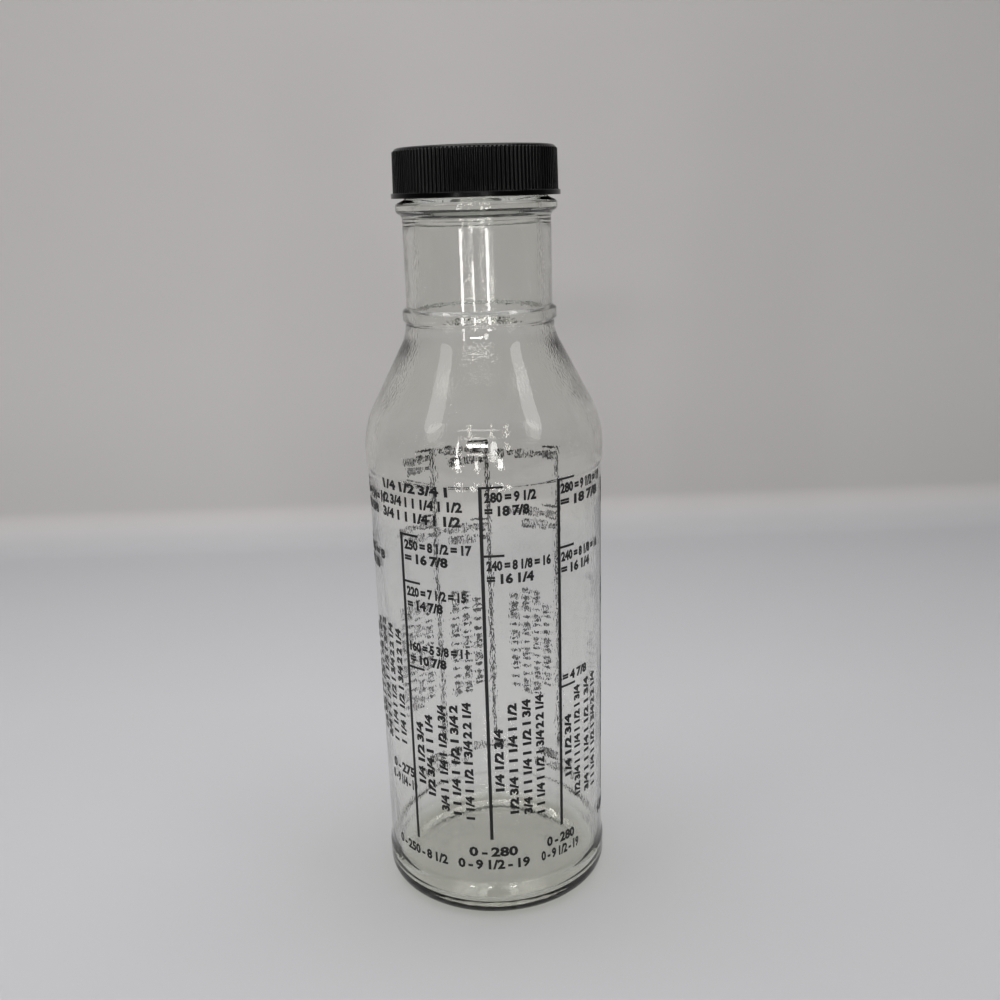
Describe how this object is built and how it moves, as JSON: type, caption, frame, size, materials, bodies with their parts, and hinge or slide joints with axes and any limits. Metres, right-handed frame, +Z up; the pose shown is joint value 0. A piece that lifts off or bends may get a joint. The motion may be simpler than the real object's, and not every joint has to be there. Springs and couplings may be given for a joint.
{
  "type": "salad dressing mixer",
  "caption": "Clear glass dressing bottle with a ringed neck, a black ribbed screw cap and printed measuring scales round the body.",
  "frame": {"origin": "middle of the ring that the bottle stands on, at the underside", "axes": "+Z up along the bottle's axis; -Y is the side of the print that faces the camera; +X to the right seen from there"},
  "size_m": [0.0604, 0.0604, 0.1925],
  "materials": {
    "glass": "clear flint soda-lime glass, blow moulded, fire polished, faintly grey-green in the thick places",
    "cap_plastic": "black injection moulded polypropylene, satin, with fine upright ribs",
    "liner_foam": "white expanded polyethylene foam disc",
    "scale_print": "black fired screen print on the glass"
  },
  "bodies": {
    "bottle": {"bottle": "glass"},
    "seal": {"liner": "liner_foam"},
    "cap": {"cap": "cap_plastic"}
  },
  "joints": [
    {"name": "cap_rise", "type": "slide", "parent": "bottle", "child": "seal", "axis": [0, 0, 1], "range_m": [0, 0.0127]},
    {"name": "cap_turn", "type": "hinge", "parent": "seal", "child": "cap", "pos_m": [0, 0, 0.186], "axis": [0, 0, 1], "range_deg": [0, 1080]}
  ],
  "couplings": [
    {"joint": "cap_turn", "follows": "cap_rise", "rad_per_m": 1484.2}
  ]
}
